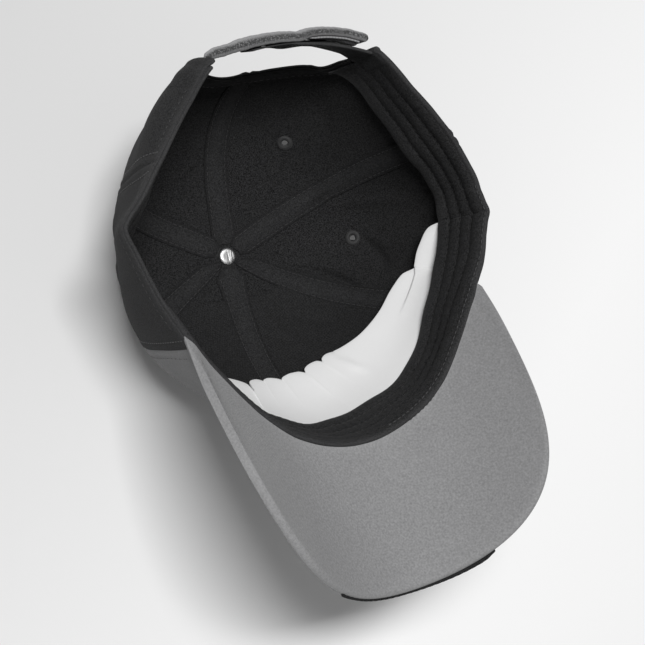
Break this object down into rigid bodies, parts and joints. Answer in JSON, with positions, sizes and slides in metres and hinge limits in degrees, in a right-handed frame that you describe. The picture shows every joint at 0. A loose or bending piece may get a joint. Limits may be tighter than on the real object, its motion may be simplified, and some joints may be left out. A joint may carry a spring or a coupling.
{
  "type": "baseball cap",
  "caption": "Soft panelled cap with a curved visor, ribbed sweatband, arched back opening with a hook-and-loop strap, and a tucked-in sheet that shapes the front.",
  "frame": {"origin": "centre of the head opening, in the plane of the rim", "axes": "+Z out of the head opening, the crown below it; -Y along the visor; +X to the wearer's right"},
  "size_m": [0.1844, 0.2587, 0.16],
  "materials": {
    "cloth_gray": "matte brushed cotton twill, mid gray",
    "cloth_dark": "matte brushed cotton twill, charcoal black",
    "lining_black": "matte woven lining, black",
    "thread_dark": "satin embroidery thread, charcoal",
    "visor_board": "plain sheet plastic",
    "rivet_metal": "bright metal with fine scratches",
    "hook_tape": "hook side of hook-and-loop tape, gray",
    "loop_tape": "loop side of hook-and-loop tape, charcoal",
    "insert_white": "thin white sheet, satin"
  },
  "bodies": {
    "crown": {"front_right_panel": "cloth_gray", "front_left_panel": "cloth_gray", "visor_top_cover": "cloth_gray", "visor_under_cover": "cloth_gray", "top_button": "cloth_gray", "strap_outer_root": "cloth_gray", "side_right_panel": "cloth_dark", "side_left_panel": "cloth_dark", "back_right_panel": "cloth_dark", "back_left_panel": "cloth_dark", "front_seam_tape": "cloth_dark", "front_right_seam_tape": "cloth_dark", "front_left_seam_tape": "cloth_dark", "back_right_seam_tape": "cloth_dark", "back_left_seam_tape": "cloth_dark", "back_seam_tape": "cloth_dark", "opening_binding": "cloth_dark", "visor_trim": "cloth_dark", "strap_inner_root": "cloth_dark", "front_right_buckram": "lining_black", "front_left_buckram": "lining_black", "sweatband": "lining_black", "side_right_eyelet": "thread_dark", "side_left_eyelet": "thread_dark", "back_right_eyelet": "thread_dark", "back_left_eyelet": "thread_dark", "visor_board": "visor_board", "button_rivet": "rivet_metal"},
    "outer_tab": {"strap_outer_tab": "cloth_gray", "hook_patch": "hook_tape"},
    "inner_tab": {"strap_inner_tab": "cloth_dark", "loop_patch": "loop_tape"},
    "insert": {"front_insert": "insert_white"}
  },
  "joints": [
    {"name": "outer_tab_hinge", "type": "hinge", "parent": "crown", "child": "outer_tab", "pos_m": [-0.04156, 0.08822, -0.011], "axis": [0, 0, 1], "range_deg": [0, 110]},
    {"name": "inner_tab_hinge", "type": "hinge", "parent": "crown", "child": "inner_tab", "pos_m": [0.03963, 0.08285, -0.011], "axis": [0, 0, 1], "range_deg": [0, 60]},
    {"name": "insert_slide", "type": "slide", "parent": "crown", "child": "insert", "axis": [0, 0.5356, -0.8445], "range_m": [0, 0.008]}
  ]
}
